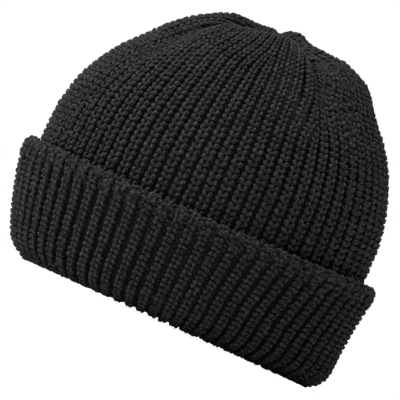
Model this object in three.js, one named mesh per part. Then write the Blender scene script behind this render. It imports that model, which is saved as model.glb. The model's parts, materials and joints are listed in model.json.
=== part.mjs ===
// Cuffed beanie in rib knit, standing on its rim.
// Millimetres, +Z up. The forehead is at -X, the nape at +X, the left side of the head at -Y.
import * as THREE from 'three';

// Driving dimensions
const ribCount = 68; // ribs round the tube, which crown and cuff share
const goreCount = 4; // quarters of the crown, parted by the darts
const firstDart = -10.76; // ribs from the middle of the left side to the first dart
const gather = { from: 125, to: 165, widen: 0.1, swallowed: 4.5 }; // heights between which darts take up ribs
const pleat = { from: 152, to: 172, at: 1.8, before: 1.0, after: 0.4 }; // fold at the top of each gore, in ribs
const leanToSides = 1.2; // ribs by which the cuff's ribs stand off the nape at the rim
const hiddenBelow = 50; // the crown's outside is left without grooves below this, inside the cuff
const crownWall = 4.2; // knit from the crest of a rib to the inside
const dartWidth = 8.5; // reach of a dart's valley to each side
const endSpare = 0.3; // a rib nearer to a dart than this share of its width has ended
const topDip = 3.4; // how far the cuff's top edge hangs lower at the sides of the head
const napeRise = 1.4; // how far it stands higher at the nape than at the forehead, which the rows give

// Columns round one rib, as shares of its width, with the share of the groove's depth there.
const crownRib = [{ at: 0, deep: 1 }, { at: 0.26, deep: 0 }, { at: 0.74, deep: 0 }];
const cuffRib = [{ at: 0.21, deep: 1 }, { at: 0.5, deep: 0 }, { at: 0.79, deep: 1 }];
const plainRib = [{ at: 0, deep: 0 }];

// The crown from its lower edge in the fold to the gather at the top, over the ribs' crests.
// front, back and side are measured from the middle, groove and dart are depths.
const crownRows = [
  { height: 7.0, front: 88.2, back: 98.6, side: 71.6, groove: 1.3, dart: 0 },
  { height: 20.0, front: 94.3, back: 100.8, side: 75.3, groove: 1.3, dart: 0 },
  { height: 42.0, front: 100.4, back: 101.5, side: 79.4, groove: 1.3, dart: 0 },
  { height: 62.0, front: 102.6, back: 101.6, side: 81.0, groove: 1.4, dart: 0 },
  { height: 80.0, front: 102.9, back: 101.7, side: 81.4, groove: 1.4, dart: 0 },
  { height: 95.0, front: 101.8, back: 100.8, side: 80.6, groove: 1.4, dart: 0 },
  { height: 108.0, front: 98.8, back: 98.2, side: 78.2, groove: 1.4, dart: 0 },
  { height: 120.0, front: 94.2, back: 94.3, side: 74.4, groove: 1.4, dart: 0.3 },
  { height: 131.0, front: 87.8, back: 89.6, side: 69.4, groove: 1.4, dart: 0.8 },
  { height: 141.0, front: 80.4, back: 83.8, side: 63.7, groove: 1.3, dart: 1.4 },
  { height: 150.5, front: 71.8, back: 76.4, side: 58.2, groove: 1.3, dart: 2.2 },
  { height: 160.0, front: 63.4, back: 68.0, side: 52.2, groove: 1.2, dart: 3.2 },
  { height: 168.0, front: 54.3, back: 62.2, side: 46.2, groove: 1.1, dart: 4.2 },
  { height: 174.6, front: 44.2, back: 55.6, side: 39.0, groove: 1.0, dart: 5.0 },
  { height: 178.8, front: 35.0, back: 45.6, side: 30.6, groove: 0.9, dart: 5.2 },
  { height: 181.0, front: 22.5, back: 33.0, side: 20.4, groove: 0.8, dart: 4.6 },
  { height: 181.9, front: 11.5, back: 16.5, side: 10.6, groove: 0.6, dart: 3.0 },
  { height: 180.6, front: 5.4, back: 6.4, side: 5.0, groove: 0.3, dart: 1.2 },
];
const outerTop = 179.4; // bottom of the gather, seen from above
const innerRows = 14; // rows of the list above that the inside follows, every second one
const innerTop = 172.5; // inside of the gather

// Small humps of gathered cloth beside the middle of the top
const puckers = [
  { x: 8.5, y: 3, rise: 5.6, reach: 7.5 },
  { x: 3, y: -15, rise: 1.0, reach: 10 },
  { x: 36, y: 8, rise: 2.2, reach: 9 },
  { x: -34, y: 6, rise: 1.0, reach: 8 },
];

// The cuff from the flat of its fold up the outside, over the ribs' crests.
// groove is how deep the ribs' grooves are, drop how much lower they lie.
const cuffRows = [
  { height: 0.0, front: 82.8, back: 95.4, side: 68.2, groove: 1.0, drop: 0 },
  { height: 2.4, front: 86.8, back: 99.2, side: 71.8, groove: 1.5, drop: 0 },
  { height: 6.4, front: 92.4, back: 103.4, side: 76.2, groove: 1.7, drop: 0 },
  { height: 13.5, front: 97.5, back: 106.2, side: 79.6, groove: 1.8, drop: 0 },
  { height: 30.0, front: 103.8, back: 107.2, side: 83.2, groove: 1.8, drop: 0 },
  { height: 47.0, front: 108.6, back: 109.0, side: 86.9, groove: 1.8, drop: 0 },
  { height: 60.5, front: 111.1, back: 111.1, side: 89.2, groove: 1.8, drop: 0 },
  { height: 65.6, front: 109.9, back: 110.2, side: 88.2, groove: 1.5, drop: 0.6 },
  { height: 68.2, front: 107.2, back: 107.6, side: 85.6, groove: 0.5, drop: 1.4 },
];

// The cuff again, down its inside, round the fold under the crown and back to the flat.
const liningRows = [
  { height: 66.2, front: 105.2, back: 105.2, side: 83.7 },
  { height: 61.0, front: 105.2, back: 104.8, side: 83.5 },
  { height: 42.0, front: 101.9, back: 102.6, side: 80.6 },
  { height: 20.0, front: 95.0, back: 101.5, side: 76.0 },
  { height: 6.7, front: 88.7, back: 99.1, side: 72.1 },
  { height: 6.7, front: 83.0, back: 93.6, side: 66.6 },
  { height: 2.6, front: 78.6, back: 91.2, side: 64.0 },
  { height: 0.0, front: 79.8, back: 92.4, side: 65.2 },
];

// Ribs counted from the middle of the left side to the angle there, with ribs of even width.
// Angle 0 is the middle of the left side, and a quarter turn on is the nape.
function evenAngles(row, steps = 240) {
  const lengths = [0];
  let last = ovalPoint(row, 0);
  for (let i = 1; i <= steps; i++) {
    const next = ovalPoint(row, (i / steps) * Math.PI * 2);
    lengths.push(lengths[i - 1] + next.distanceTo(last));
    last = next;
  }
  return (ribs) => {
    const turns = Math.floor(ribs / ribCount);
    const target = (ribs / ribCount - turns) * lengths[steps];
    const i = Math.max(1, lengths.findIndex((length) => length >= target));
    const part = (target - lengths[i - 1]) / (lengths[i] - lengths[i - 1]);
    return (turns + (i - 1 + part) / steps) * Math.PI * 2;
  };
}

// A point on a row's oval, moved in towards the middle and down.
function ovalPoint(row, angle, inward = 0, down = 0) {
  const reach = Math.sin(angle) > 0 ? row.back : row.front;
  const x = Math.sin(angle) * (reach - inward);
  const y = -Math.cos(angle) * (row.side - inward);
  return new THREE.Vector3(x, y, row.height - down);
}

const goreRibs = ribCount / goreCount;

// Direction straight out of the crown at each row, from its neighbours.
function withSlope(rows) {
  return rows.map((row, i) => {
    const before = rows[Math.max(i - 1, 0)];
    const after = rows[Math.min(i + 1, rows.length - 1)];
    const run = (after.front + after.back - before.front - before.back) / 2;
    const climb = after.height - before.height;
    const length = Math.hypot(run, climb);
    return { ...row, out: climb / length, up: -run / length };
  });
}

function ramp(value, from, to) {
  return THREE.MathUtils.smoothstep(value, from, to);
}

// How far from its gore's middle a rib stands in a row, both counted in ribs of even width.
function ribPlace(rib, row) {
  const gathered = ramp(row.height, gather.from, gather.to);
  const edge = gather.swallowed * gathered * Math.max(0, 2 * rib / goreRibs) ** 6;
  const away = rib - pleat.at;
  const drawn = away < 0 ? pleat.before : pleat.after * Math.exp(-away / 4);
  return rib * (1 + gather.widen * gathered) + edge
    - drawn * ramp(row.height, pleat.from, pleat.to) * Math.tanh(away);
}

// One ring of the crown, with ribs that end where they reach a dart.
function crownRing(row, columns, depth) {
  const ring = [];
  const angleAt = evenAngles(row);
  const ribLength = (row.front + row.back + 2 * row.side) * Math.PI / 2 / ribCount;
  for (let gore = 0; gore < goreCount; gore++) {
    for (let rib = 0; rib < goreRibs; rib++) {
      for (const column of columns) {
        const own = rib + column.at;
        const seam = own === 0;
        const fromMiddle = seam ? -goreRibs / 2 : ribPlace(own - goreRibs / 2, row);
        const toDart = goreRibs / 2 - Math.abs(fromMiddle);
        if (!seam && toDart < endSpare) continue;
        const angle = angleAt((gore + 0.5) * goreRibs + fromMiddle + firstDart);
        const valley = row.dart * Math.exp(-((toDart * ribLength / dartWidth) ** 2));
        const inset = depth + valley + (depth ? 0 : row.groove * column.deep);
        const point = ovalPoint(row, angle, inset * row.out, inset * row.up);
        ring.push({ at: gore * goreRibs + own, point: pucker(point) });
      }
    }
  }
  return ring;
}

function pucker(point) {
  if (point.z < 80) return point;
  for (const { x, y, rise, reach } of puckers) {
    point.z += rise * Math.exp(-((point.x - x) ** 2 + (point.y - y) ** 2) / reach ** 2);
  }
  return point;
}

// One ring of the cuff, whose top edge follows the head.
function cuffRing(row, columns) {
  const ring = [];
  const angleAt = evenAngles(row);
  const top = cuffRows.at(-1).height;
  const low = Math.min(1, (top - 2.2 - row.height) / 40);
  for (let rib = 0; rib < ribCount; rib++) {
    for (const column of columns) {
      const even = angleAt(rib + column.at + firstDart);
      const lean = leanToSides * Math.max(0, low) * Math.max(0, Math.sin(even)) * Math.cos(even);
      const angle = angleAt(rib + column.at + firstDart - lean);
      const share = Math.max(0, (row.height - crownRows[0].height) / (top - crownRows[0].height));
      const sag = share * (topDip * Math.cos(angle) ** 2 - napeRise * (1 + Math.sin(angle)) / 2);
      const inward = column.deep * (row.groove ?? 0);
      const down = sag + column.deep * (row.drop ?? 0);
      ring.push({ at: rib + column.at, point: ovalPoint(row, angle, inward, down) });
    }
  }
  return ring;
}

// Closes the strip between two rings, in step with their ribs.
function strip(first, second, faces) {
  const stop = (ring, i) => (i < ring.length ? ring[i].at : ribCount);
  let i = 0;
  let j = 0;
  while (i < first.length || j < second.length) {
    const a = first[i % first.length].point;
    const b = second[j % second.length].point;
    const firstIsNext = j >= second.length || (i < first.length && stop(first, i + 1) <= stop(second, j + 1));
    if (firstIsNext) {
      i += 1;
      if (first.length > 1) faces.push([a, first[i % first.length].point, b]);
    } else {
      j += 1;
      if (second.length > 1) faces.push([a, second[j % second.length].point, b]);
    }
  }
}

// A closed body from rings of points, each joined to the next.
function body(rings) {
  const faces = [];
  for (let i = 1; i < rings.length; i++) strip(rings[i - 1], rings[i], faces);
  const geometry = new THREE.BufferGeometry().setFromPoints(faces.flat());
  geometry.computeVertexNormals();
  return geometry;
}

// Crown: inside from the top down, lower edge in the fold, outside back up to the gather.
function crownGeometry() {
  const rows = withSlope(crownRows);
  const tip = (height) => [{ at: 0, point: new THREE.Vector3(0.4, 0, height) }];
  const inside = rows.slice(0, innerRows).filter((row, i) => i % 2 === 0 || i === innerRows - 1).reverse();
  return body([
    tip(innerTop),
    ...inside.map((row) => crownRing(row, plainRib, crownWall)),
    ...rows.map((row) => crownRing(row, row.height < hiddenBelow ? plainRib : crownRib, 0)),
    tip(outerTop),
  ]);
}

// Cuff: outside from the fold's flat up to the free edge, then down the inside and under the crown.
function cuffGeometry() {
  const outside = cuffRows.map((row) => cuffRing(row, cuffRib));
  const lining = liningRows.map((row) => cuffRing(row, plainRib));
  return body([...outside, ...lining, outside[0]]);
}

const yarn = { color: 0x26262a, roughness: 0.95, metalness: 0 };

const crown = new THREE.Mesh(crownGeometry(), new THREE.MeshStandardMaterial(yarn));
crown.name = 'crown';

const cuff = new THREE.Mesh(cuffGeometry(), new THREE.MeshStandardMaterial(yarn));
cuff.name = 'cuff';

const beanie = new THREE.Group();
beanie.add(crown, cuff);

export default beanie;
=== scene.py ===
# A cuffed beanie in heavy black rib knit, every stitch of it modelled as yarn.
# The hat stands on its rim. Its form repeats the frame's: a tube of 68 ribs drawn in by four darts.
import bpy
import bmesh
import json
import math
import random
from bisect import bisect_right
from mathutils import Matrix, Quaternion, Vector

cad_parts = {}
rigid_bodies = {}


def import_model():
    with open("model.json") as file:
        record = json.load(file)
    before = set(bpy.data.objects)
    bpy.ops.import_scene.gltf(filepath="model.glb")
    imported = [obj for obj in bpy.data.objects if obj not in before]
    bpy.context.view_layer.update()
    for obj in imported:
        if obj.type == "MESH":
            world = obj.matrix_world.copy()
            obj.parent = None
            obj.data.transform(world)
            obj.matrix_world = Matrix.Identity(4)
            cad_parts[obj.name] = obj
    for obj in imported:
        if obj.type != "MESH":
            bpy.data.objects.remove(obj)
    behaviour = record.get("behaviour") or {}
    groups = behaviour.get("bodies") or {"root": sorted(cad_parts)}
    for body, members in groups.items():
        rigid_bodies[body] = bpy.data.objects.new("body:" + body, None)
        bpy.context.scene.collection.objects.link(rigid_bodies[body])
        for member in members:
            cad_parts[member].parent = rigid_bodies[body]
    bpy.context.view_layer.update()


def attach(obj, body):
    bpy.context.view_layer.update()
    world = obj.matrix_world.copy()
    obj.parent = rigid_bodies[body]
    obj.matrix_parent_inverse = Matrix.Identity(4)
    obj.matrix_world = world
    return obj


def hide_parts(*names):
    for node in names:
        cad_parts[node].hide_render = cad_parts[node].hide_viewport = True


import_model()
mm = 0.001
draw = random.Random(68)
print("frame loaded")


def linear(hexColour):  # sRGB hex to the linear colour that Blender's sockets take
    channels = [int(hexColour[i:i + 2], 16) / 255 for i in (0, 2, 4)]
    return [c / 12.92 if c <= 0.04045 else ((c + 0.055) / 1.055) ** 2.4 for c in channels] + [1.0]


def addNode(tree, kind, settings=None, values=None, links=None):
    node = tree.nodes.new(kind)
    for name, value in (settings or {}).items():
        setattr(node, name, value)
    for name, value in (values or {}).items():
        node.inputs[name].default_value = value
    for name, source in (links or {}).items():
        tree.links.new(source, node.inputs[name])
    return node


# The knitted tube

tube = {
    "ribs": 68,             # ribs all round
    "gores": 4,             # quarters between the darts
    "firstDart": -10.76,    # ribs from the middle of the left side to the first dart
    "gatherFrom": 125.0,    # mm, the height where the darts begin to take up ribs
    "gatherTo": 165.0,
    "widen": 0.1,           # share by which a rib is wider there than an even one
    "swallowed": 4.5,       # ribs by which the rib at a dart would overshoot it
    "swallowPower": 6,      # how fast that falls off away from the dart
    "pleatFrom": 152.0,     # mm, the height where the pleat at each gore's top begins
    "pleatTo": 172.0,
    "pleatRib": 1.8,        # ribs from the gore's middle to the pleat
    "pleatBefore": 1.0,     # ribs that it draws in from the one side
    "pleatAfter": 0.4,      # and from the other
    "pleatFade": 4.0,       # ribs over which that fades
    "lean": 1.2,            # ribs by which the cuff's ribs stand off the nape at the rim
    "leanFrom": 66.0,       # mm, the heights over which that grows, downwards
    "leanTo": 26.0,
    "dartWidth": 8.5,       # mm that a dart's valley reaches to each side
    "seam": 6.5,            # mm that the seam is drawn in at the bottom of the valley
    "seamWidth": 2.2,
    "seamFrom": 164.0,      # mm, the heights over which it deepens
    "seamTo": 176.0,
    "seamFade": 11.0,       # mm from the middle of the top, where it runs out again
    "crushed": [0.4, 1.0, 0.7, 0.7],    # how flat the ribs before a dart are pressed, for each gore
    "crushFrom": 1.0,       # ribs off a gore's middle where that begins
    "crushTo": 5.5,
    "crushLow": 122.0,      # mm, the heights over which it comes
    "crushHigh": 150.0,
    "topDip": 3.4,          # mm that the cuff's edge hangs lower at the sides
    "napeRise": 1.4,        # mm that it stands higher at the nape
    "edgeFrom": 7.0,        # mm, the height where both begin
    "edgeOver": 61.2,       # mm of height over which they grow
    "puckersAbove": 80.0,   # mm, the height above which the puckers count
}
goreRibs = tube["ribs"] // tube["gores"]

formColumns = ("height", "front", "back", "side", "dart")   # the cuff has no darts
crownRows = [  # mm, over the ribs' crests, from the fold up to the gather
    (7.0, 88.2, 98.6, 71.6, 0.0),
    (20.0, 94.3, 100.8, 75.3, 0.0),
    (42.0, 100.4, 101.5, 79.4, 0.0),
    (62.0, 102.6, 101.6, 81.0, 0.0),
    (80.0, 102.9, 101.7, 81.4, 0.0),
    (95.0, 101.8, 100.8, 80.6, 0.0),
    (108.0, 98.8, 98.2, 78.2, 0.0),
    (120.0, 94.2, 94.3, 74.4, 0.3),
    (131.0, 87.8, 89.6, 69.4, 0.8),
    (141.0, 80.4, 83.8, 63.7, 1.4),
    (150.5, 71.8, 76.4, 58.2, 2.2),
    (160.0, 63.4, 68.0, 52.2, 3.2),
    (168.0, 54.3, 62.2, 46.2, 4.2),
    (174.6, 44.2, 55.6, 39.0, 5.0),
    (178.8, 35.0, 45.6, 30.6, 5.2),
    (181.0, 22.5, 33.0, 20.4, 4.6),
    (181.9, 11.5, 16.5, 10.6, 3.0),
    (180.6, 5.4, 6.4, 5.0, 1.2),
    (179.4, 0.6, 0.6, 0.6, 0.0),
]
cuffRows = [  # mm, from inside the rim round the fold, up the outside and over the free edge
    (12.0, 84.6, 94.0, 67.0),
    (6.7, 81.8, 92.3, 65.0),
    (2.8, 80.2, 92.6, 65.4),
    (0.5, 82.6, 95.2, 68.0),
    (2.6, 86.9, 99.3, 71.9),
    (6.4, 92.4, 103.4, 76.2),
    (13.5, 97.5, 106.2, 79.6),
    (30.0, 103.8, 107.2, 83.2),
    (47.0, 108.6, 109.0, 86.9),
    (60.5, 111.1, 111.1, 89.2),
    (65.6, 109.9, 110.2, 88.2),
    (68.2, 107.2, 107.6, 85.6),
    (66.4, 105.4, 105.5, 83.9),
    (61.0, 105.2, 104.8, 83.5),
]
puckers = [  # mm, humps and hollows of gathered cloth round the middle of the top
    {"x": 7.8, "y": 3.0, "rise": 7.2, "reach": 7.8},
    {"x": 23.0, "y": 6.0, "rise": 3.0, "reach": 10.0},
    {"x": 38.0, "y": 8.0, "rise": 3.6, "reach": 9.0},
    {"x": -28.0, "y": 4.0, "rise": 1.5, "reach": 10.0},
    {"x": -4.0, "y": 6.0, "rise": 3.2, "reach": 6.5},
    {"x": -17.0, "y": -17.0, "rise": -8.0, "reach": 12.0},
    {"x": -7.0, "y": -13.0, "rise": -5.0, "reach": 8.0},
]


def between(a, b, c, d, t):  # a smooth curve from b to c, which a and d steer
    square = 2 * a - 5 * b + 4 * c - d
    cube = 3 * b - a - 3 * c + d
    return 0.5 * (2 * b + (c - a) * t + square * t * t + cube * t ** 3)


def smoothLine(rows, stepsPerRow=10):  # a smooth line through the rows, with the length run along it
    line = []
    for i in range(len(rows) - 1):
        around = [rows[max(i - 1, 0)], rows[i], rows[i + 1], rows[min(i + 2, len(rows) - 1)]]
        for step in range(stepsPerRow):
            t = step / stepsPerRow
            line.append([between(a, b, c, d, t) for a, b, c, d in zip(*around)])
    line.append(list(rows[-1]))
    reach = [(row[1] + row[2]) / 2 for row in line]
    lengths = [0.0]
    for i in range(1, len(line)):
        lengths.append(lengths[-1] + math.hypot(reach[i] - reach[i - 1], line[i][0] - line[i - 1][0]))
    return {"lengths": lengths, "rows": line, "total": lengths[-1]}


def rowAt(line, length):  # the row at a length along the line, with the way straight out of it
    lengths = line["lengths"]
    i = min(max(bisect_right(lengths, length), 1), len(lengths) - 1)
    share = (length - lengths[i - 1]) / (lengths[i] - lengths[i - 1])
    before, after = line["rows"][i - 1], line["rows"][i]
    row = {name: a + (b - a) * share for name, a, b in zip(formColumns, before, after)}
    run = (after[1] + after[2] - before[1] - before[2]) / 2
    climb = after[0] - before[0]
    size = math.hypot(run, climb)
    row["out"], row["up"] = climb / size, -run / size
    return row


def ovalPoint(row, angle, depth):  # angle 0 is the left side of the head, a quarter turn on the nape
    reach = row["back"] if math.sin(angle) > 0 else row["front"]
    inward = depth * row["out"]
    return Vector((
        math.sin(angle) * (reach - inward),
        -math.cos(angle) * (row["side"] - inward),
        row["height"] - depth * row["up"],
    ))


roundCache = {}     # rows that roundLengths has measured


def roundLengths(row, steps=48):  # running length along the left half, from forehead to nape
    shape = tuple(round(row[name], 2) for name in ("front", "back", "side"))
    if shape not in roundCache:
        angles = [math.pi * (i / steps - 0.5) for i in range(steps + 1)]
        ends = [(math.sin(a) * shape[a > 0], math.cos(a) * shape[2]) for a in angles]
        lengths = [0.0]
        for a, b in zip(ends, ends[1:]):
            lengths.append(lengths[-1] + math.dist(a, b))
        roundCache[shape] = (angles, lengths)
    return roundCache[shape]


def angleAt(ribsRound, row):  # ribs stand evenly round each row, counted from the middle of the left side
    angles, lengths = roundLengths(row)
    half = tube["ribs"] / 2
    middle = lengths[len(lengths) // 2] / lengths[-1] * half
    place = (ribsRound + middle) % tube["ribs"]
    mirrored = place > half
    target = (tube["ribs"] - place if mirrored else place) / half * lengths[-1]
    i = min(max(bisect_right(lengths, target), 1), len(lengths) - 1)
    before, after = angles[i - 1], angles[i]
    angle = before + (after - before) * (target - lengths[i - 1]) / (lengths[i] - lengths[i - 1])
    return math.pi - angle if mirrored else angle


def ribWidth(row):  # mm, if every rib ran on to the top
    return (row["front"] + row["back"] + 2 * row["side"]) * math.pi / 2 / tube["ribs"]


def ramp(value, start, end):  # 0 up to the start, 1 from the end on, and smooth between them
    t = min(max((value - start) / (end - start), 0.0), 1.0)
    return t * t * (3 - 2 * t)


def ribPlace(rib, row):  # how far from its gore's middle a rib stands, counted in even ribs
    gathered = ramp(row["height"], tube["gatherFrom"], tube["gatherTo"])
    edge = tube["swallowed"] * gathered * max(0.0, rib / goreRibs * 2) ** tube["swallowPower"]
    away = rib - tube["pleatRib"]
    drawn = tube["pleatBefore"] if away < 0 else tube["pleatAfter"] * math.exp(-away / tube["pleatFade"])
    pleat = drawn * ramp(row["height"], tube["pleatFrom"], tube["pleatTo"]) * math.tanh(away)
    return rib * (1 + tube["widen"] * gathered) + edge - pleat


def leaned(ribsRound, row):  # near the rim the ribs stand off the nape, towards the sides
    even = angleAt(ribsRound, row)
    low = (tube["leanFrom"] - row["height"]) / (tube["leanFrom"] - tube["leanTo"])
    low = min(max(low, 0.0), 1.0)
    return angleAt(ribsRound - tube["lean"] * low * max(0.0, math.sin(even)) * math.cos(even), row)


def crushing(gore, across, row):  # 0 where the ribs lie free, 1 where a dart has crushed them flat
    high = ramp(row["height"], tube["crushLow"], tube["crushHigh"])
    return tube["crushed"][gore] * high * ramp(-across, tube["crushFrom"], tube["crushTo"])


crownLine = smoothLine(crownRows)
cuffLine = smoothLine(cuffRows)


def crownPoint(gore, fromMiddle, length, depth):  # fromMiddle counts ribs from the gore's middle line
    row = rowAt(crownLine, length)
    toDart = (goreRibs / 2 - abs(fromMiddle)) * ribWidth(row)
    valley = row["dart"] * math.exp(-(toDart / tube["dartWidth"]) ** 2)
    drawnIn = ramp(row["height"], tube["seamFrom"], tube["seamTo"])
    drawnIn *= min(1.0, row["side"] / tube["seamFade"])
    valley += tube["seam"] * drawnIn * math.exp(-(toDart / tube["seamWidth"]) ** 2)
    angle = leaned((gore + 0.5) * goreRibs + fromMiddle + tube["firstDart"], row)
    point = ovalPoint(row, angle, depth + valley)
    if point.z > tube["puckersAbove"]:
        for hump in puckers:
            away = (point.x - hump["x"]) ** 2 + (point.y - hump["y"]) ** 2
            point.z += hump["rise"] * math.exp(-away / hump["reach"] ** 2)
    return point


def cuffPoint(ribsRound, length, depth=0.0):
    row = rowAt(cuffLine, length)
    angle = leaned(ribsRound + tube["firstDart"], row)
    point = ovalPoint(row, angle, depth)
    share = max(0.0, (row["height"] - tube["edgeFrom"]) / tube["edgeOver"])
    dip = tube["topDip"] * math.cos(angle) ** 2
    rise = tube["napeRise"] * (1 + math.sin(angle)) / 2
    point.z -= share * (dip - rise)
    return point


feel = {"across": 0.1, "along": 0.6}    # ribs and mm to each side of a place that give the cloth's slope


def placeOn(pointAt, across, along, depth):  # a place and its axes: X across the rib, Y up it, Z out
    here = pointAt(across, along, depth)
    side = pointAt(across + feel["across"], along, depth) - pointAt(across - feel["across"], along, depth)
    up = pointAt(across, along + feel["along"], depth) - pointAt(across, along - feel["along"], depth)
    up.normalize()
    out = side.cross(up).normalized()
    return here, Matrix((up.cross(out), up, out)).transposed()


print("crown", round(crownLine["total"]), "mm and cuff", round(cuffLine["total"]), "mm along the cloth")


# Yarn: a length of it is a ring of points drawn along a path

strand = {
    "plies": 5,
    "twist": 0.35,          # plies passed for each mm along the strand
    "lengthwise": 0.1,      # of the map's height for each mm
}


def yarnStrand(bm, stops, sides):  # stops are x, y, z, half width and half thickness in mm, and roll
    uvLayer = bm.loops.layers.uv.active
    centres = [Vector(stop[:3]) for stop in stops]
    ring = bmesh.ops.create_circle(bm, cap_ends=True, radius=1.0, segments=sides)["verts"]
    shape = [vertex.co.copy() for vertex in ring]
    rings = []
    run = 0.0
    for i, stop in enumerate(stops):
        ahead = centres[min(i + 1, len(stops) - 1)] - centres[max(i - 1, 0)]
        turn = ahead.to_track_quat("Z", "Y") @ Quaternion((0, 0, 1), stop[5])
        if i:
            run += (centres[i] - centres[i - 1]).length
            face = next(f for f in ring[0].link_faces if all(v in f.verts for v in ring))
            made = bmesh.ops.extrude_face_region(bm, geom=[face])["geom"]
            above = [v for v in made if isinstance(v, bmesh.types.BMVert)]
            ring = [min(above, key=lambda v: (v.co - old.co).length) for old in ring]
            if i > 1:
                bmesh.ops.delete(bm, geom=[face], context="FACES_ONLY")
        for vertex, corner in zip(ring, shape):
            vertex.co = centres[i] + turn @ Vector((corner.x * stop[3], corner.y * stop[4], 0))
        rings.append((ring, run))
    place = {v: (n / sides, length) for ring, length in rings for n, v in enumerate(ring)}
    faces = {f for ring, length in rings for v in ring for f in v.link_faces}
    for face in faces:
        rounds = [place[loop.vert][0] for loop in face.loops]
        wraps = max(rounds) - min(rounds) > 0.5
        for loop in face.loops:
            around, length = place[loop.vert]
            around += 1.0 if wraps and around < 0.5 else 0.0
            loop[uvLayer].uv = (
                around * strand["plies"] + length * strand["twist"],
                length * strand["lengthwise"],
            )


def yarnPiece(name, strands, sides):  # one seed mesh, in metres
    bm = bmesh.new()
    bm.loops.layers.uv.new("UVMap")
    for stops in strands:
        yarnStrand(bm, stops, sides)
    bmesh.ops.recalc_face_normals(bm, faces=bm.faces[:])
    bmesh.ops.scale(bm, vec=(mm, mm, mm), verts=bm.verts[:])
    for face in bm.faces:
        face.smooth = True
    mesh = bpy.data.meshes.new(name)
    bm.to_mesh(mesh)
    bm.free()
    return bpy.data.objects.new(name, mesh)


# Each path below is a list of x across the rib, y along it and z out of the cloth, in mm, and of the share
# of full thickness that the yarn has there.
knit = {
    "variants": 4,
    "sides": 6,             # faces round the yarn outside,
    "plainSides": 4,        # and where it lies deep or inside
    "halfWidth": 1.36,      # mm, of the yarn, which is pressed flat
    "halfThick": 1.06,
    "roll": 28.0,           # degrees that a leg's flat side turns away from the middle of the rib
    "wander": 0.36,         # mm that each point strays
    "wanderOut": 0.6,       # share of that out of the cloth
    "lean": 7.0,            # degrees that a stitch leans at random where its piece sets no lean of its own
    "puff": (0.92, 1.08),   # from the thinnest to the plumpest stitch
    "tones": (0.4, 0.6),    # from which each stitch's own fibres follow
    "lower": (0.0, 0.3),    # mm that the left and the right leg lie deeper
    "leg": [                # half of a stitch, which is a V whose ends dive into the cloth
        (-0.15, -0.90, -0.60, 0.68),
        (0.80, -0.96, -0.30, 0.80),
        (1.66, -0.60, 0.00, 0.95),
        (1.86, 0.22, -0.02, 1.00),
        (1.96, 0.80, -1.10, 0.90),
        (1.98, 0.88, -2.60, 0.68),
    ],
    "closeLower": (0.1, 0.0),
    "closeThick": 1.03,
    "closeSpread": 0.95,
    "closeLeg": [           # the same on the cuff, where the stitches are low and wide
        (-0.15, -0.60, -0.50, 0.72),
        (0.80, -0.65, -0.22, 0.84),
        (1.60, -0.40, 0.00, 0.96),
        (1.90, 0.10, -0.10, 0.98),
        (2.00, 0.45, -1.15, 0.90),
        (2.02, 0.50, -2.50, 0.68),
    ],
    "plainLeg": [           # the same with fewer points, for the inside
        (0.60, -2.1, -1.8, 0.65),
        (1.60, -0.6, 0.0, 1.0),
        (1.95, 0.8, -0.3, 1.0),
        (2.05, 1.7, -1.8, 0.65),
    ],
    "bar": [                # the back of a stitch, lying across the bottom of a groove
        (-2.1, -0.35, -0.9, 0.66),
        (-0.8, 0.30, -0.05, 0.76),
        (0.8, 0.30, -0.05, 0.76),
        (2.1, -0.35, -0.9, 0.66),
    ],
}


def strayed(path, side=0, thick=1.0, spread=1.0, lower=0.0):  # a path as a strand, no two of them alike
    stops = []
    for x, y, z, share in path:
        stray = [draw.uniform(-1, 1) * knit["wander"] for axis in range(3)]
        width = knit["halfWidth"] * share * thick
        depth = knit["halfThick"] * share * thick
        across = (side or 1) * x * spread + stray[0]
        out = z - lower + stray[2] * knit["wanderOut"]
        stops.append((across, y + stray[1], out, width, depth, math.radians(side * knit["roll"])))
    return stops


def halves(path, thick=1.0, spread=1.0, lower=(0.0, 0.0)):  # the left and the right half of a stitch
    return [strayed(path, side, thick, spread, lower[side > 0]) for side in (-1, 1)]


def seedStock(name, makeStrands, sides):  # the few stitches that all others are copies of
    stock = bpy.data.collections.new(name)
    for variant in range(knit["variants"]):
        stock.objects.link(yarnPiece(f"{name}{variant}", makeStrands(), sides))
    counts = [sum(len(face.vertices) - 2 for face in seed.data.polygons) for seed in stock.objects]
    print(name, counts, "triangles")
    return stock


def closeHalves():
    return halves(knit["closeLeg"], knit["closeThick"], knit["closeSpread"], knit["closeLower"])


stitchSeeds = seedStock("stitch", lambda: halves(knit["leg"], lower=knit["lower"]), knit["sides"])
closeSeeds = seedStock("closeStitch", closeHalves, knit["sides"])
plainSeeds = seedStock("plainStitch", lambda: halves(knit["plainLeg"]), knit["plainSides"])
barSeeds = seedStock("bar", lambda: [strayed(knit["bar"])], knit["plainSides"])


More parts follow.
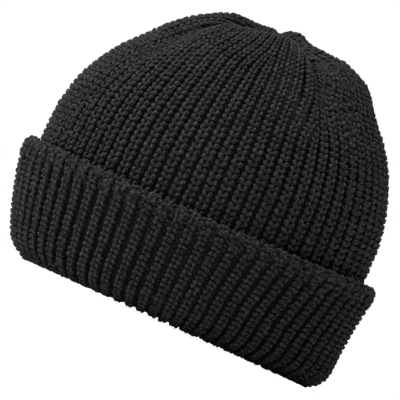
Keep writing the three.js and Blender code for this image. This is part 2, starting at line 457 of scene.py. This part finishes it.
def scatter(name, places, collection):  # one seed of the collection at each place, joined into one mesh
    points = bpy.data.meshes.new(name)
    points.from_pydata([place["at"] * mm for place in places], [], [])
    columns = {"turn": "QUATERNION", "size": "FLOAT_VECTOR", "pick": "INT", "tone": "FLOAT"}
    for column, kind in columns.items():
        layer = points.attributes.new(column, kind, "POINT")
        field = "vector" if kind == "FLOAT_VECTOR" else "value"
        for item, place in zip(layer.data, places):
            setattr(item, field, place[column])
    piece = bpy.data.objects.new(name, points)
    bpy.context.scene.collection.objects.link(piece)
    tree = bpy.data.node_groups.new(name, "GeometryNodeTree")
    tree.interface.new_socket("Geometry", in_out="INPUT", socket_type="NodeSocketGeometry")
    tree.interface.new_socket("Geometry", in_out="OUTPUT", socket_type="NodeSocketGeometry")
    start = addNode(tree, "NodeGroupInput")
    stock = addNode(tree, "GeometryNodeCollectionInfo", values={
        "Collection": collection, "Separate Children": True, "Reset Children": True,
    })
    named = {
        column: addNode(tree, "GeometryNodeInputNamedAttribute", {"data_type": kind}, {"Name": column})
        for column, kind in columns.items()
    }
    laid = addNode(tree, "GeometryNodeInstanceOnPoints", values={"Pick Instance": True}, links={
        "Points": start.outputs["Geometry"],
        "Instance": stock.outputs["Instances"],
        "Instance Index": named["pick"].outputs["Attribute"],
        "Rotation": named["turn"].outputs["Attribute"],
        "Scale": named["size"].outputs["Attribute"],
    })
    joined = addNode(tree, "GeometryNodeRealizeInstances", links={"Geometry": laid.outputs["Instances"]})
    addNode(tree, "NodeGroupOutput", links={"Geometry": joined.outputs["Geometry"]})
    modifier = piece.modifiers.new("stitches", "NODES")
    modifier.node_group = tree
    settle(piece)
    for column in ("turn", "size", "pick"):
        if column in piece.data.attributes:
            piece.data.attributes.remove(piece.data.attributes[column])
    return piece


def settle(piece):  # the modifiers' result becomes the piece's own mesh
    evaluated = piece.evaluated_get(bpy.context.evaluated_depsgraph_get())
    mesh = bpy.data.meshes.new_from_object(evaluated)
    piece.modifiers.clear()
    piece.data = mesh


def stitchPlace(here, axes, wide, tall, thick, lean=knit["lean"]):  # one stitch's place, size and tone
    wobble = [math.radians(draw.uniform(-lean, lean)) for axis in range(3)]
    turn = axes @ (Matrix.Rotation(wobble[0], 3, "X") @ Matrix.Rotation(wobble[1], 3, "Y")
                   @ Matrix.Rotation(wobble[2], 3, "Z"))
    puff = draw.uniform(*knit["puff"])
    return {
        "at": here,
        "turn": turn.to_quaternion(),
        "size": (wide * puff, tall, thick * puff),
        "pick": draw.randrange(knit["variants"]),
        "tone": draw.uniform(*knit["tones"]),
    }


# Materials

wool = {
    "yarn": "050505",       # black dyed wool and acrylic; the hollows between the plies keep the most of it, as painted shade
    "specksAndHighlight": "484848",       # light fibre specks on top of the plies: partly the fibres' paler tone, partly painted highlight
    "paintedShadeCore": "040404",       # the cloth behind the stitches: the same wool painted darker, as painted shade in the grooves
    "paintedShadeCoreSpeck": "0c0c0c",
    "plyBump": 0.30,        # mm
    "fibreBump": 0.14,      # mm
    "fuzzBump": 0.40,       # mm
    "fuzz": 1.5,            # mm across one tuft
    "fibres": (5.0, 9.0, 1.0),  # fibres in the pattern across a ply, and along 10 mm of it
    "ownFibres": 300.0,     # times a stitch's tone is its place in the fibre pattern
    "highlightFrom": 0.91,      # fibre and fuzz noise together, from where their specks get the light colour, which is partly painted highlight
    "highlightTo": 1.12,        # to where they catch the most
    "hollowPaintedShade": 0.35,         # share of that light colour left in the hollows between the plies: painted shade
    "cloud": 22.0,          # mm across a patch that is a little lighter or darker
    "cloudTone": 0.1,       # by how much it is so
}


def yarnMaterial(name, colour, light):  # plied wool: matt, with twisted plies, fine fibres and a soft fuzz; its colour holds painted shade in the ply hollows and painted highlight on the fibre specks
    material = bpy.data.materials.new(name)
    material.use_nodes = True
    tree = material.node_tree
    tree.nodes.clear()
    uv = addNode(tree, "ShaderNodeUVMap", {"uv_map": "UVMap"})
    place = addNode(tree, "ShaderNodeTexCoord")
    tone = addNode(tree, "ShaderNodeAttribute", {"attribute_name": "tone"})
    own = addNode(tree, "ShaderNodeMath", {"operation": "MULTIPLY"}, {1: wool["ownFibres"]},
                  {0: tone.outputs["Fac"]})
    plies = addNode(tree, "ShaderNodeTexWave", {"wave_type": "BANDS", "bands_direction": "X"},
                    {"Scale": math.tau / 20, "Distortion": 0.7, "Detail": 1.0},  # one band to a ply
                    {"Vector": uv.outputs["UV"]})
    along = addNode(tree, "ShaderNodeMapping", None, {"Scale": wool["fibres"]}, {"Vector": uv.outputs["UV"]})
    fibres = addNode(tree, "ShaderNodeTexNoise", {"noise_dimensions": "4D"}, {"Scale": 1.0, "Detail": 2.0},
                     {"Vector": along.outputs["Vector"], "W": own.outputs["Value"]})
    fuzz = addNode(tree, "ShaderNodeTexNoise", None,
                   {"Scale": 1 / (wool["fuzz"] * mm), "Detail": 3.0, "Roughness": 0.6},
                   {"Vector": place.outputs["Object"]})
    cloud = addNode(tree, "ShaderNodeTexNoise", None,
                    {"Scale": 1 / (wool["cloud"] * mm), "Detail": 2.0},
                    {"Vector": place.outputs["Object"]})
    speckle = addNode(tree, "ShaderNodeMath", {"operation": "ADD"}, None,
                      {0: fibres.outputs["Fac"], 1: fuzz.outputs["Fac"]})
    # specks of fibre and fuzz get the light colour: partly the fibres' paler tone, partly painted highlight
    speckHighlight = addNode(tree, "ShaderNodeMapRange", None,
                     {"From Min": wool["highlightFrom"], "From Max": wool["highlightTo"]},
                     {"Value": speckle.outputs["Value"]})
    # the hollows between the plies keep less of the light colour: painted shade
    plyHollowShade = addNode(tree, "ShaderNodeMapRange", None, {"To Min": wool["hollowPaintedShade"], "To Max": 1.0},
                    {"Value": plies.outputs["Fac"]})
    paintedLightMix = addNode(tree, "ShaderNodeMath", {"operation": "MULTIPLY"}, None,
                   {0: speckHighlight.outputs["Result"], 1: plyHollowShade.outputs["Result"]})
    mix = addNode(tree, "ShaderNodeMix", {"data_type": "RGBA"}, None, {"Factor": paintedLightMix.outputs["Value"]})
    mix.inputs["A"].default_value = linear(colour)
    mix.inputs["B"].default_value = linear(light)
    cloudRange = {
        "From Min": 0.3, "From Max": 0.7,
        "To Min": 1 - wool["cloudTone"], "To Max": 1 + wool["cloudTone"],
    }
    span = addNode(tree, "ShaderNodeMapRange", None, cloudRange, {"Value": cloud.outputs["Fac"]})
    drift = addNode(tree, "ShaderNodeHueSaturation", None, None,
                    {"Color": mix.outputs["Result"], "Value": span.outputs["Result"]})
    bumps = None
    for height, depth in ((plies, "plyBump"), (fibres, "fibreBump"), (fuzz, "fuzzBump")):
        before = {"Normal": bumps.outputs["Normal"]} if bumps else {}
        bumps = addNode(tree, "ShaderNodeBump", None, {"Strength": 1.0, "Distance": wool[depth] * mm},
                        {"Height": height.outputs["Fac"], **before})
    surface = addNode(tree, "ShaderNodeBsdfPrincipled", None, {
        "Roughness": 0.8, "IOR": 1.54, "Specular IOR Level": 0.25,
        "Sheen Weight": 0.04, "Sheen Roughness": 0.5, "Sheen Tint": (1.0, 1.0, 1.0, 1.0),
    }, {"Base Color": drift.outputs["Color"], "Normal": bumps.outputs["Normal"]})
    addNode(tree, "ShaderNodeOutputMaterial", links={"Surface": surface.outputs["BSDF"]})
    return material


yarn = yarnMaterial("blackPliedYarn", wool["yarn"], wool["specksAndHighlight"])
backingInPaintedShade = yarnMaterial("blackKnitBackingPaintedShade", wool["paintedShadeCore"], wool["paintedShadeCoreSpeck"])  # the same wool, painted darker as shade deep in the grooves


def dress(piece, material):  # a finished piece gets its material, body and slot
    piece.data.materials.clear()
    piece.data.materials.append(material)
    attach(piece, "root")


# Cloth behind the stitches

def tubeShell(name, rings, closed):  # a shell drawn ring by ring, which ends where it began or in two points
    bm = bmesh.new()
    bm.loops.layers.uv.new("UVMap")
    count = len(rings[0])
    loop = bmesh.ops.create_circle(bm, cap_ends=False, radius=1.0, segments=count)["verts"]
    for vertex, point in zip(loop, rings[0]):
        vertex.co = point * mm
    first = loop
    for ring in rings[1:]:
        edges = [bm.edges.get((loop[i], loop[(i + 1) % count])) for i in range(count)]
        made = bmesh.ops.extrude_edge_only(bm, edges=edges)["geom"]
        fresh = {v for v in made if isinstance(v, bmesh.types.BMVert)}
        loop = [next(e.other_vert(v) for e in v.link_edges if e.other_vert(v) in fresh) for v in loop]
        for vertex, point in zip(loop, ring):
            vertex.co = point * mm
    if closed:
        bmesh.ops.bridge_loops(bm, edges=[
            bm.edges.get((ring[i], ring[(i + 1) % count])) for ring in (first, loop) for i in range(count)
        ])
    else:
        bmesh.ops.pointmerge(bm, verts=first, merge_co=sum((v.co for v in first), Vector()) / count)
        bmesh.ops.pointmerge(bm, verts=loop, merge_co=sum((v.co for v in loop), Vector()) / count)
    bmesh.ops.recalc_face_normals(bm, faces=bm.faces[:])
    for face in bm.faces:
        face.smooth = True
    mesh = bpy.data.meshes.new(name)
    bm.to_mesh(mesh)
    bm.free()
    piece = bpy.data.objects.new(name, mesh)
    bpy.context.scene.collection.objects.link(piece)
    return piece


cloth = {
    "outside": {"depth": 1.6, "groove": 3.6},   # mm from the crests to the cloth, and more in the grooves
    "inside": {"depth": 4.2, "groove": 2.0},    # mm to its inner side
    "step": 4.0,            # mm between rings
    "liningStep": 8.0,
    "perRib": 2,            # points round each rib
    "crushLift": 0.5,       # mm that the cloth rises where a dart crushes it
    "crushFill": 0.8,       # share of a groove's depth that this closes
    "crownFrom": 0.5,       # mm along the crown's line, outside and inside
    "crownEnd": 2.0,        # mm short of the end of that line, outside
    "liningEnd": 24.0,      # and inside
    "cuffFrom": 8.0,        # mm along the cuff's line, outside
    "cuffEnd": 6.0,
    "foldFrom": 12.0,       # and inside the fold
    "foldEnd": 10.0,
}


def crownRing(length, side):  # the cloth round the crown at one length along its line
    row = rowAt(crownLine, length)
    points = []
    for i in range(tube["ribs"] * cloth["perRib"]):
        gore = i // (goreRibs * cloth["perRib"])
        across = i / cloth["perRib"] - (gore + 0.5) * goreRibs
        crush = crushing(gore, across, row)
        sunk = side["depth"] - cloth["crushLift"] * crush
        if i % cloth["perRib"] == 0:
            sunk += side["groove"] * (1 - cloth["crushFill"] * crush)
        points.append(crownPoint(gore, across, length, sunk))
    return points


def cuffRing(length, side):
    points = []
    for i in range(tube["ribs"] * cloth["perRib"]):
        sunk = side["depth"]
        if i % cloth["perRib"] == 0:
            sunk += side["groove"]
        points.append(cuffPoint(i / cloth["perRib"], length, sunk))
    return points


def evenSteps(start, end, step):  # lengths from start to end, about a step apart
    count = max(1, round(abs(end - start) / step))
    return [start + (end - start) * i / count for i in range(count + 1)]


upCrown = evenSteps(cloth["crownFrom"], crownLine["total"] - cloth["crownEnd"], cloth["step"])
downCrown = evenSteps(crownLine["total"] - cloth["liningEnd"], cloth["crownFrom"], cloth["liningStep"])
crownOutside = [crownRing(length, cloth["outside"]) for length in upCrown]
crownInside = [crownRing(length, cloth["inside"]) for length in downCrown]
crownCloth = tubeShell("crownCloth", crownInside + crownOutside, False)
dress(crownCloth, backingInPaintedShade)
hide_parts("crown")

upCuff = evenSteps(cloth["cuffFrom"], cuffLine["total"] - cloth["cuffEnd"], cloth["step"])
downCuff = evenSteps(cuffLine["total"] - cloth["foldEnd"], cloth["foldFrom"], cloth["step"])
cuffOutside = [cuffRing(length, cloth["outside"]) for length in upCuff]
cuffInside = [cuffRing(length, cloth["inside"]) for length in downCuff]
cuffCloth = tubeShell("cuffCloth", cuffOutside + cuffInside, True)
dress(cuffCloth, backingInPaintedShade)
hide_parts("cuff")
print("cloth", len(crownCloth.data.polygons), len(cuffCloth.data.polygons), "faces")


# Knit on the crown

crownKnit = {
    "course": 3.80,         # mm from one stitch to the next up a rib
    "rib": 8.4,             # mm, the width of a rib that a full-sized stitch fills
    "start": 52.0,          # mm along the cloth, inside the cuff
    "end": 1.5,             # mm short of the middle of the top
    "narrowest": 3.3,       # mm; where ribs would be narrower, two are knitted together
    "sunk": 0.95,           # mm from the crests to the middle of the yarn
    "wide": 1.02,           # a stitch's width against its rib's
    "spare": 0.03,          # and a little more, which counts where ribs are narrow
    "widest": 1.06,
    "tall": 1.03,
    "thick": 0.5,           # share of its thickness that a stitch keeps however narrow it is
    "lean": 8.0,            # degrees that it leans at random
    "crushWide": 0.25,      # by how much a crushed stitch is wider,
    "crushThin": 0.4,       # thinner,
    "crushLow": 0.1,        # lower
    "crushLean": 16.0,      # and more askew
    "gathered": 22.0,       # mm round the middle of the top where the cloth is doubled up
    "gatheredSunk": 0.3,    # mm that the stitches that this adds lie deeper
    "gatheredWide": 1.1,
    "gatheredThick": 0.8,
    "gatheredLean": 16.0,
    "barSunk": 4.9,         # mm to the middle of a bar in a groove
    "barRise": 2.8,         # mm that crushing lifts it
    "barWidest": 1.1,
    "barEnd": 30.0,         # mm short of the middle of the top
}


def crownCourse(along):  # the ribs that cross one course of a gore, each with the groove after it
    row = rowAt(crownLine, along)
    edge = goreRibs / 2
    grooves = [min(max(ribPlace(number - edge, row), -edge), edge) for number in range(goreRibs + 1)]
    least = crownKnit["narrowest"] / ribWidth(row)
    middle = min(range(goreRibs + 1), key=lambda number: abs(grooves[number]))
    kept = [grooves[middle]]
    for groove in grooves[middle + 1:]:
        if groove - kept[-1] > least:
            kept.append(groove)
    for groove in reversed(grooves[:middle]):
        if kept[0] - groove > least:
            kept.insert(0, groove)
    ribs = []
    for start, end in zip([-edge] + kept, kept + [edge]):
        if (end - start) > least / 2:
            width = (end - start) * ribWidth(row) / crownKnit["rib"]
            ribs.append({"middle": (start + end) / 2, "width": width, "end": end})
    return ribs, row


def onCrown(gore):  # the crown's surface in one gore
    return lambda across, along, depth: crownPoint(gore, across, along, depth)


def crownStitches(gore):
    places = []
    along = crownKnit["start"]
    while along < crownLine["total"] - crownKnit["end"]:
        ribs, row = crownCourse(along)
        for rib in ribs:
            crush = crushing(gore, rib["middle"], row)
            here, axes = placeOn(onCrown(gore), rib["middle"], along, crownKnit["sunk"])
            wide = min(rib["width"] * crownKnit["wide"] + crownKnit["spare"], crownKnit["widest"])
            wide *= 1 + crownKnit["crushWide"] * crush
            tall = crownKnit["tall"] - crownKnit["crushLow"] * crush
            thick = crownKnit["thick"] + (1 - crownKnit["thick"]) * wide
            thick *= 1 - crownKnit["crushThin"] * crush
            lean = crownKnit["lean"] + crownKnit["crushLean"] * crush
            places.append(stitchPlace(here, axes, wide, tall, thick, lean))
            if along > crownLine["total"] - crownKnit["gathered"] and rib["end"] < goreRibs / 2:
                halfway = along + crownKnit["course"] / 2
                sunk = crownKnit["sunk"] + crownKnit["gatheredSunk"]
                here, axes = placeOn(onCrown(gore), rib["end"], halfway, sunk)
                wide *= crownKnit["gatheredWide"]
                thick *= crownKnit["gatheredThick"]
                places.append(stitchPlace(here, axes, wide, 1.0, thick, crownKnit["gatheredLean"]))
        along += crownKnit["course"]
    return places


def crownBars(gore):
    places = []
    along = crownKnit["start"]
    while along < crownLine["total"] - crownKnit["barEnd"]:
        ribs, row = crownCourse(along)
        for rib in ribs:
            sunk = crownKnit["barSunk"] - crownKnit["barRise"] * crushing(gore, rib["end"], row)
            here, axes = placeOn(onCrown(gore), rib["end"], along + crownKnit["course"] / 2, sunk)
            places.append(stitchPlace(here, axes, min(rib["width"], crownKnit["barWidest"]), 1.0, 1.0))
        along += crownKnit["course"]
    return places


for gore in range(tube["gores"]):
    piece = scatter(f"crownStitches{gore + 1}", crownStitches(gore), stitchSeeds)
    dress(piece, yarn)
    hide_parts("crown")
    print(piece.name, len(piece.data.polygons), "faces")
piece = scatter("crownBars", [place for gore in range(tube["gores"]) for place in crownBars(gore)], barSeeds)
dress(piece, yarn)
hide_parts("crown")
print(piece.name, len(piece.data.polygons), "faces")


# Knit on the inside, which shows from below: the grooves outside are ribs in here

liningKnit = {
    "course": 4.2,      # mm, coarser than outside, as little of it shows
    "sunk": 5.6,        # mm from the crests outside
    "start": 8.0,
    "end": 30.0,        # mm short of the middle of the top
    "widest": 1.1,
    "thick": 0.8,
    "facingIn": Matrix.Rotation(math.pi, 3, "Y"),
}


def liningStitches():
    places = []
    along = liningKnit["start"]
    while along < crownLine["total"] - liningKnit["end"]:
        ribs, row = crownCourse(along)
        for gore in range(tube["gores"]):
            for rib in ribs:
                here, axes = placeOn(onCrown(gore), rib["end"], along, liningKnit["sunk"])
                wide = min(rib["width"], liningKnit["widest"])
                turned = axes @ liningKnit["facingIn"]
                places.append(stitchPlace(here, turned, wide, 1.0, liningKnit["thick"]))
        along += liningKnit["course"]
    return places


piece = scatter("crownLining", liningStitches(), plainSeeds)
dress(piece, yarn)
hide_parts("crown")
print(piece.name, len(piece.data.polygons), "faces")


# Knit on the cuff, whose stitches point down because it is turned up

cuffKnit = {
    "pieces": 2,            # pieces that the cuff's stitches are split into; one would have too many faces
    "course": 3.22,         # mm from one stitch to the next
    "start": 4.0,           # mm along the cuff's line, inside the fold
    "end": 8.5,             # mm short of its end, at the top of the free edge
    "sunk": 0.95,           # mm from the crests to the middle of the yarn
    "widest": 0.95,         # share of a crown stitch; the cloth is stretched here, and its grooves are wider
    "thick": 0.95,
    "lean": 8.0,            # degrees that a stitch leans at random
    "looseFrom": 50.0,      # mm, the heights over which the slack stitches of the free edge begin
    "looseTo": 60.0,
    "looseSunk": (-0.1, 0.7),   # mm that one of these lies deeper
    "looseAcross": 0.09,    # ribs that it strays
    "looseAlong": 0.8,      # mm that it strays
    "looseWide": 0.06,      # by how much it is wider
    "looseLean": 16.0,      # degrees that it leans further
    "barSunk": 5.1,         # mm to the middle of a bar in a groove
    "barTall": 1.3,
    "barThick": 0.9,
    "barLean": 9.0,
    "foldBarSunk": 2.0,     # mm, round the fold
    "foldTight": 1.3,       # mm less where the fold is pulled tight and its grooves fill
    "foldTightFrom": 16.0,  # mm towards the forehead, over which that begins
    "foldTightTo": 34.0,
    "foldFrom": 13.0,       # mm along the cuff's line, over which the grooves deepen above the fold
    "foldTo": 24.0,
    "looseBarSunk": 3.0,    # mm, at the free edge
    "looseBarLean": 14.0,
}
turnedOver = Matrix.Rotation(math.pi, 3, "Z")


def looseness(row):  # 0 on the cuff, 1 at its free edge
    return ramp(row["height"], cuffKnit["looseFrom"], cuffKnit["looseTo"])


def cuffStitches(part):  # those of one half of the round
    places = []
    share = tube["ribs"] // cuffKnit["pieces"]
    along = cuffKnit["start"]
    while along < cuffLine["total"] - cuffKnit["end"]:
        row = rowAt(cuffLine, along)
        wide = min(ribWidth(row) / crownKnit["rib"], cuffKnit["widest"])
        loose = looseness(row)
        for rib in range(part * share, (part + 1) * share):
            stray = draw.uniform(-1, 1) * loose
            sunk = cuffKnit["sunk"] + draw.uniform(*cuffKnit["looseSunk"]) * loose
            across = rib + 0.5 + stray * cuffKnit["looseAcross"]
            here, axes = placeOn(cuffPoint, across, along + stray * cuffKnit["looseAlong"], sunk)
            size = (wide + cuffKnit["looseWide"] * loose, 1.0, cuffKnit["thick"])
            lean = cuffKnit["lean"] + cuffKnit["looseLean"] * loose
            places.append(stitchPlace(here, axes @ turnedOver, *size, lean))
        along += cuffKnit["course"]
    return places


def cuffBars():
    places = []
    along = cuffKnit["start"] + cuffKnit["course"] / 2
    while along < cuffLine["total"] - cuffKnit["end"]:
        row = rowAt(cuffLine, along)
        size = (ribWidth(row) / crownKnit["rib"], cuffKnit["barTall"], cuffKnit["barThick"])
        loose = looseness(row)
        lean = cuffKnit["barLean"] + cuffKnit["looseBarLean"] * loose
        above = ramp(along, cuffKnit["foldFrom"], cuffKnit["foldTo"])
        for rib in range(tube["ribs"]):
            tight = ramp(-cuffPoint(rib, along).x, cuffKnit["foldTightFrom"], cuffKnit["foldTightTo"])
            folded = cuffKnit["foldBarSunk"] - cuffKnit["foldTight"] * tight
            sunk = folded + (cuffKnit["barSunk"] - folded) * above
            sunk += (cuffKnit["looseBarSunk"] - sunk) * loose
            here, axes = placeOn(cuffPoint, rib, along, sunk)
            places.append(stitchPlace(here, axes @ turnedOver, *size, lean))
        along += cuffKnit["course"]
    return places


castOn = {  # loops of the first row, along the free edge
    "perRib": 3,
    "rows": [(13.6, 0.9), (10.6, 1.0)],     # mm before the end of the cuff's line, and mm sunk
    "across": 0.25,         # of the way to the next loop that one strays
    "along": 0.7,           # mm that it strays up or down
    "deeper": (-0.2, 1.0),  # mm that it lies deeper
    "size": (0.75, 1.1, 1.0),   # width, height and thickness against a bar's
    "lean": 32.0,           # degrees that it leans at random
}


def castOnLoops():
    places = []
    for before, sunk in castOn["rows"]:
        for number in range(tube["ribs"] * castOn["perRib"]):
            across = (number + draw.uniform(-castOn["across"], castOn["across"])) / castOn["perRib"]
            along = cuffLine["total"] - before + draw.uniform(-castOn["along"], castOn["along"])
            here, axes = placeOn(cuffPoint, across, along, sunk + draw.uniform(*castOn["deeper"]))
            places.append(stitchPlace(here, axes, *castOn["size"], castOn["lean"]))
    return places


for part in range(cuffKnit["pieces"]):
    piece = scatter(f"cuffStitches{part + 1}", cuffStitches(part), closeSeeds)
    dress(piece, yarn)
    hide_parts("cuff")
    print(piece.name, len(piece.data.polygons), "faces")
for name, places in (("cuffBars", cuffBars()), ("cuffCastOn", castOnLoops())):
    piece = scatter(name, places, barSeeds)
    dress(piece, yarn)
    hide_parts("cuff")
    print(piece.name, len(piece.data.polygons), "faces")


# Studio: a pale floor, white all round, a soft key from the upper left

studio = {
    "distance": 3000.0,         # mm from the hat's middle
    "height": 4.0,              # mm that the camera stands above the floor
    "aim": (-4.3, 0.0, 73.9),   # mm, what the middle of the picture shows
    "roll": 24.5,               # degrees that the hat leans in the picture
    "width": 230.8,             # mm that the picture shows at the hat
    "sensor": 36.0,             # mm
    "seeTo": 200.0,             # m
    "floor": 60.0,              # m from its middle to its edge
    "floorColour": "f0f0f0",
    "floorRoughness": 0.9,
    "ambient": 0.04,            # how much the white surroundings light the hat
    "lights": [                 # where from, strength and angle across in degrees
        {"name": "top", "from": (0, 0, 1), "strength": 2.3, "across": 40.0},
        {"name": "left", "from": (-1, -0.25, 0.65), "strength": 3.1, "across": 50.0},
        {"name": "rim", "from": (-0.2, 0.5, 0.8), "strength": 0.2, "across": 40.0},
    ],
}

floorMesh = bpy.data.meshes.new("floor")
bm = bmesh.new()
bmesh.ops.create_circle(bm, cap_ends=True, radius=studio["floor"], segments=64)
bm.to_mesh(floorMesh)
bm.free()
floor = bpy.data.objects.new("floor", floorMesh)
bpy.context.scene.collection.objects.link(floor)
paint = bpy.data.materials.new("whiteStudioFloor")  # matt white paint: a soft shadow and no mirror image
paint.use_nodes = True
coat = paint.node_tree.nodes["Principled BSDF"].inputs
coat["Base Color"].default_value = linear(studio["floorColour"])
coat["Roughness"].default_value = studio["floorRoughness"]
coat["Specular IOR Level"].default_value = 0.0
floor.data.materials.append(paint)

world = bpy.data.worlds.new("studio")
world.use_nodes = True
tree = world.node_tree
tree.nodes.clear()
seen = addNode(tree, "ShaderNodeLightPath")
level = addNode(tree, "ShaderNodeMapRange", None, {"To Min": studio["ambient"], "To Max": 1.0},
                {"Value": seen.outputs["Is Camera Ray"]})
sky = addNode(tree, "ShaderNodeBackground", None, {"Color": (1, 1, 1, 1)},
              {"Strength": level.outputs["Result"]})
addNode(tree, "ShaderNodeOutputWorld", links={"Surface": sky.outputs["Background"]})
bpy.context.scene.world = world

for row in studio["lights"]:
    data = bpy.data.lights.new(row["name"], "SUN")
    data.energy = row["strength"]
    data.angle = math.radians(row["across"])
    light = bpy.data.objects.new(row["name"], data)
    light.rotation_euler = (-Vector(row["from"])).to_track_quat("-Z", "Y").to_euler()
    bpy.context.scene.collection.objects.link(light)

cameraData = bpy.data.cameras.new("camera")
cameraData.sensor_width = studio["sensor"]
cameraData.lens = studio["sensor"] * studio["distance"] / studio["width"]
cameraData.clip_end = studio["seeTo"]
camera = bpy.data.objects.new("camera", cameraData)
aim = Vector(studio["aim"])
stand = Vector((aim.x, -studio["distance"], studio["height"]))
look = (aim - stand).to_track_quat("-Z", "Y").to_matrix()
camera.matrix_world = Matrix.Translation(stand * mm) @ (
    look @ Matrix.Rotation(math.radians(studio["roll"]), 3, "Z")).to_4x4()
bpy.context.scene.collection.objects.link(camera)
bpy.context.scene.camera = camera
bpy.context.scene.view_settings.view_transform = "Standard"
print("studio ready")
